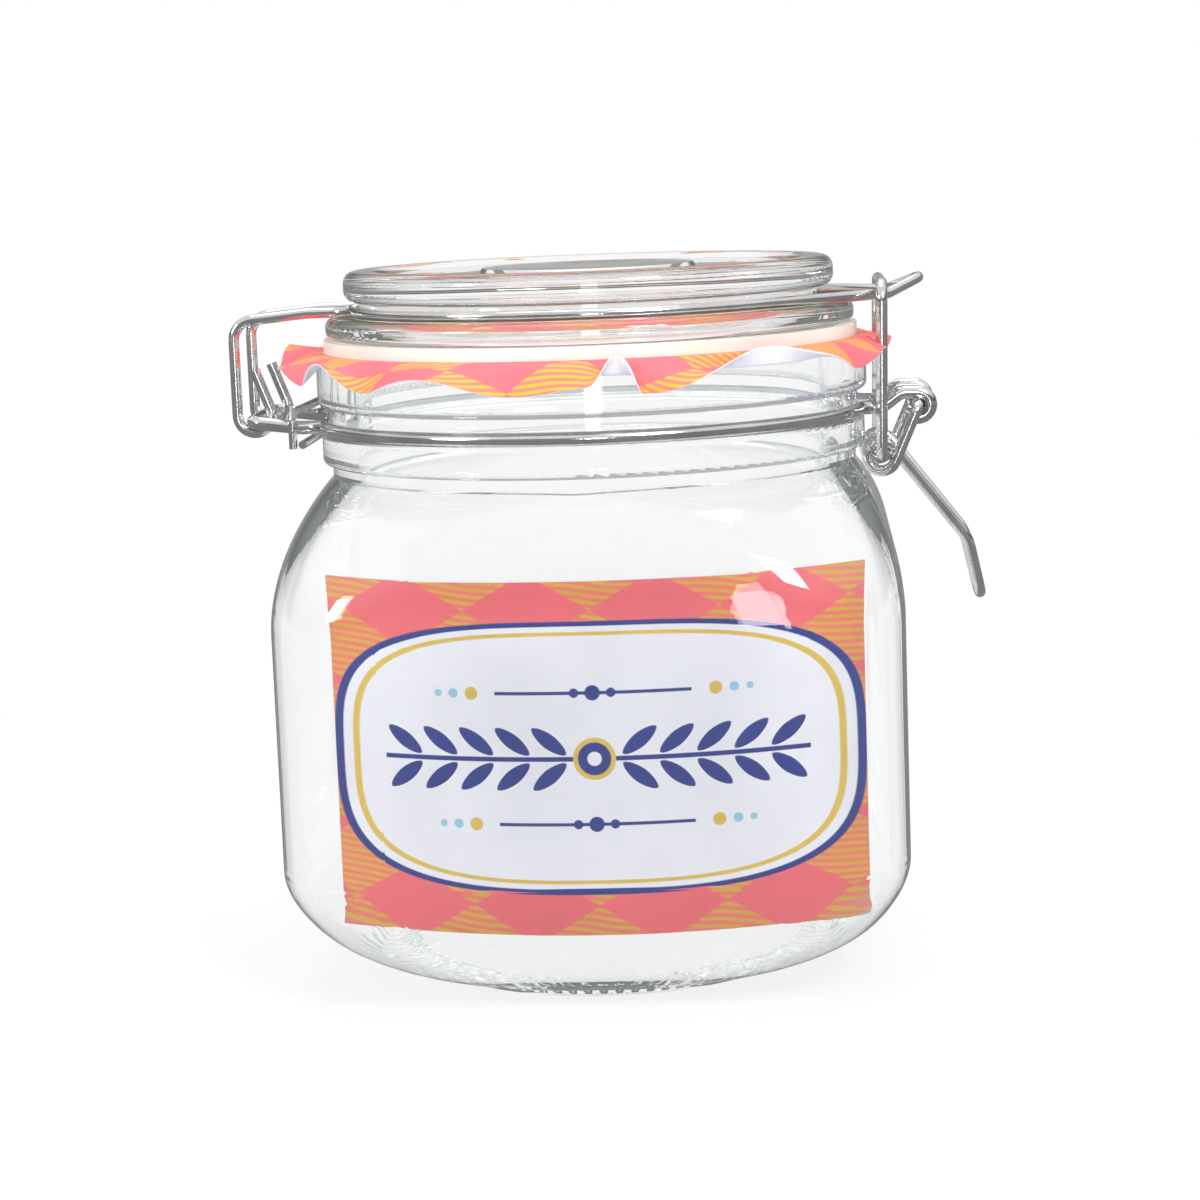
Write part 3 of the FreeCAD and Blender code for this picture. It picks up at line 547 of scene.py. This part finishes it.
# Paper cover: one sheet, dished under the lid, flat on the rim and ruffled outside it
def paper_sheet():
    level = (RIM_TOP + PAPER_TOP) / 2
    low = PLUG_LOW - PAPER_GAP
    # Rings from the middle outward: under the plug, up the mouth, then flat on the rim
    dish = [(0.006, low), (0.02, low), (0.034, low), (PLUG_FOOT - 0.0006, low), (PLUG_FOOT + 0.0002, low),
            (PLUG_FOOT + 0.0009, (low + level) / 2), (MOUTH_R - 0.0006, level - 0.0002),
            (MOUTH_R + 0.0003, level), (0.0446, level), (0.0470, level), (BEND_R - 0.0008, level),
            (BEND_R, level)]
    turns = [2 * math.pi * i / PAPER_AROUND for i in range(PAPER_AROUND)]
    verts = [(0.0, 0.0, low)]
    flats = [(0.0, 0.0)]
    run = 0.0
    last = (0.0, low)
    for r, z in dish:
        run += math.hypot(r - last[0], z - last[1])
        last = (r, z)
        for turn in turns:
            verts.append((r * math.cos(turn), r * math.sin(turn), z))
            flats.append((run * math.cos(turn), run * math.sin(turn)))
    lines = [skirt_line(turn, level) for turn in turns]
    for k in range(SKIRT_STEPS):
        for turn, line in zip(turns, lines):
            r, z, reach = line[k]
            slip = waves(turn, SLIP_WAVES) * (k + 1) / SKIRT_STEPS
            x = r * math.cos(turn) - slip * math.sin(turn)
            y = r * math.sin(turn) + slip * math.cos(turn)
            verts.append((x, y, z))
            flats.append(((run + reach) * math.cos(turn), (run + reach) * math.sin(turn)))
    faces = [(0, 1 + i, 1 + (i + 1) % PAPER_AROUND) for i in range(PAPER_AROUND)]
    for k in range(len(dish) + SKIRT_STEPS - 1):
        for i in range(PAPER_AROUND):
            a = 1 + k * PAPER_AROUND + i
            b = 1 + k * PAPER_AROUND + (i + 1) % PAPER_AROUND
            faces.append((a, a + PAPER_AROUND, b + PAPER_AROUND, b))
    mesh = bpy.data.meshes.new("paper_ruffle")
    mesh.from_pydata(verts, [], faces)
    layer = mesh.uv_layers.new(name="flat")
    for loop in mesh.loops:
        layer.data[loop.index].uv = flats[loop.vertex_index]
    for poly in mesh.polygons:
        poly.use_smooth = True
    piece = bpy.data.objects.new("paper_ruffle", mesh)
    scene.collection.objects.link(piece)
    mesh.materials.append(cover_print("cover_print"))
    mesh.materials.append(plain_paper("cover_back"))
    thick = piece.modifiers.new("thickness", "SOLIDIFY")
    thick.thickness = PAPER_THICK
    thick.offset = 0.0
    thick.material_offset = 1
    thick.material_offset_rim = 1
    return piece, math.pi * (run + SKIRT) ** 2, 2 * (run + SKIRT)


paper, paper_area, paper_width = paper_sheet()
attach(paper, "lid")
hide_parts("paper_cover")


# Camera at the photograph's place
def make_camera():
    sine = math.sin(CAMERA_TURN)
    cosine = math.cos(CAMERA_TURN)
    place = Vector((CAMERA_AWAY * sine, -CAMERA_AWAY * cosine, CAMERA_HIGH))
    level = Vector((-sine, cosine, 0.0))
    ahead = level * math.cos(CAMERA_PITCH) + Vector((0, 0, -math.sin(CAMERA_PITCH)))
    right = Vector((cosine, sine, 0.0))
    above = right.cross(ahead)
    side = right * math.cos(CAMERA_ROLL) + above * math.sin(CAMERA_ROLL)
    top = above * math.cos(CAMERA_ROLL) - right * math.sin(CAMERA_ROLL)
    data = bpy.data.cameras.new("camera")
    data.sensor_width = SENSOR
    data.lens = SENSOR * FOCAL_PIXELS / FRAME_PIXELS
    data.clip_start = 0.01
    camera = bpy.data.objects.new("camera", data)
    scene.collection.objects.link(camera)
    camera.matrix_world = Matrix((
        (side.x, top.x, -ahead.x, place.x),
        (side.y, top.y, -ahead.y, place.y),
        (side.z, top.z, -ahead.z, place.z),
        (0, 0, 0, 1)))
    scene.camera = camera


# World: white where it is seen, a plain grey-white light otherwise, with darker walls for reflections
def make_world():
    world = bpy.data.worlds.new("studio")
    scene.world = world
    m = Net(world, "Background")
    path = m.node("ShaderNodeLightPath").outputs
    seen = m.math("MAXIMUM", path["Is Camera Ray"], path["Is Transmission Ray"])
    plain = m.span(seen, 0.0, 1.0, AMBIENT, 1.0)
    coords = m.node("ShaderNodeTexCoord")
    up = m.split(coords.outputs["Generated"])[2]
    walls = m.ramp(up, WALL_LOW, WALL_DARK, WALL_HIGH)
    outside = m.span(path["Transmission Depth"], 0.0, 1.0, 1.0, WALLS_IN_GLASS)
    mirrored = m.math("MULTIPLY", path["Is Glossy Ray"], outside)
    m.link(m.mix(mirrored, plain, walls), m.main.inputs[0])
    m.main.inputs[1].default_value = 1.0


# Floor: white, keeps a soft shadow near the object and fades to plain white
def make_floor():
    mesh = bpy.data.meshes.new("floor")
    verts = [(0, 0, 0)]
    for i in range(FLOOR_SIDES):
        turn = 2 * math.pi * i / FLOOR_SIDES
        verts.append((FLOOR_R * math.cos(turn), FLOOR_R * math.sin(turn), 0))
    faces = [(0, 1 + i, 1 + (i + 1) % FLOOR_SIDES) for i in range(FLOOR_SIDES)]
    mesh.from_pydata(verts, [], faces)
    floor = bpy.data.objects.new("floor", mesh)
    scene.collection.objects.link(floor)
    m = material_net("floor_white")
    m.main.inputs["Base Color"].default_value = FLOOR_TONE
    m.main.inputs["Roughness"].default_value = 0.9
    m.main.inputs["Specular IOR Level"].default_value = 0.0
    x, y, z = m.split(m.place())
    fade = m.span(m.length(x, y), *FLOOR_FADE)
    white = m.node("ShaderNodeEmission")
    white.inputs[0].default_value = (1, 1, 1, 1)
    path = m.node("ShaderNodeLightPath").outputs
    seen = m.math("MAXIMUM", path["Is Camera Ray"], path["Is Transmission Ray"])
    share = m.math("MULTIPLY", seen, m.span(fade, 0.0, 1.0, FLOOR_WHITE, 1.0))
    share = m.math("MAXIMUM", share, path["Is Glossy Ray"])
    dimmed = m.span(path["Transmission Depth"], 0.0, 1.0, FLOOR_GLOSS, FLOOR_GLOSS_IN_GLASS)
    m.link(m.math("SUBTRACT", 1.0, m.math("MULTIPLY", path["Is Glossy Ray"], dimmed)), white.inputs[1])
    blend = m.node("ShaderNodeMixShader")
    m.link(share, blend.inputs[0])
    m.link(m.main.outputs[0], blend.inputs[1])
    m.link(white.outputs[0], blend.inputs[2])
    m.link(blend.outputs[0], m.tree.nodes["Material Output"].inputs["Surface"])
    mesh.materials.append(m.owner)


def softbox(name, place, wide, tall, power):
    data = bpy.data.lights.new(name, "AREA")
    data.shape = "RECTANGLE"
    data.size = wide
    data.size_y = tall
    data.energy = power
    lamp = bpy.data.objects.new(name, data)
    scene.collection.objects.link(lamp)
    lamp.location = place
    lamp.rotation_euler = (Vector(LAMP_AIM) - Vector(place)).to_track_quat("-Z", "Y").to_euler()


make_camera()
make_world()
make_floor()
for lamp in LAMPS:
    softbox(*lamp)
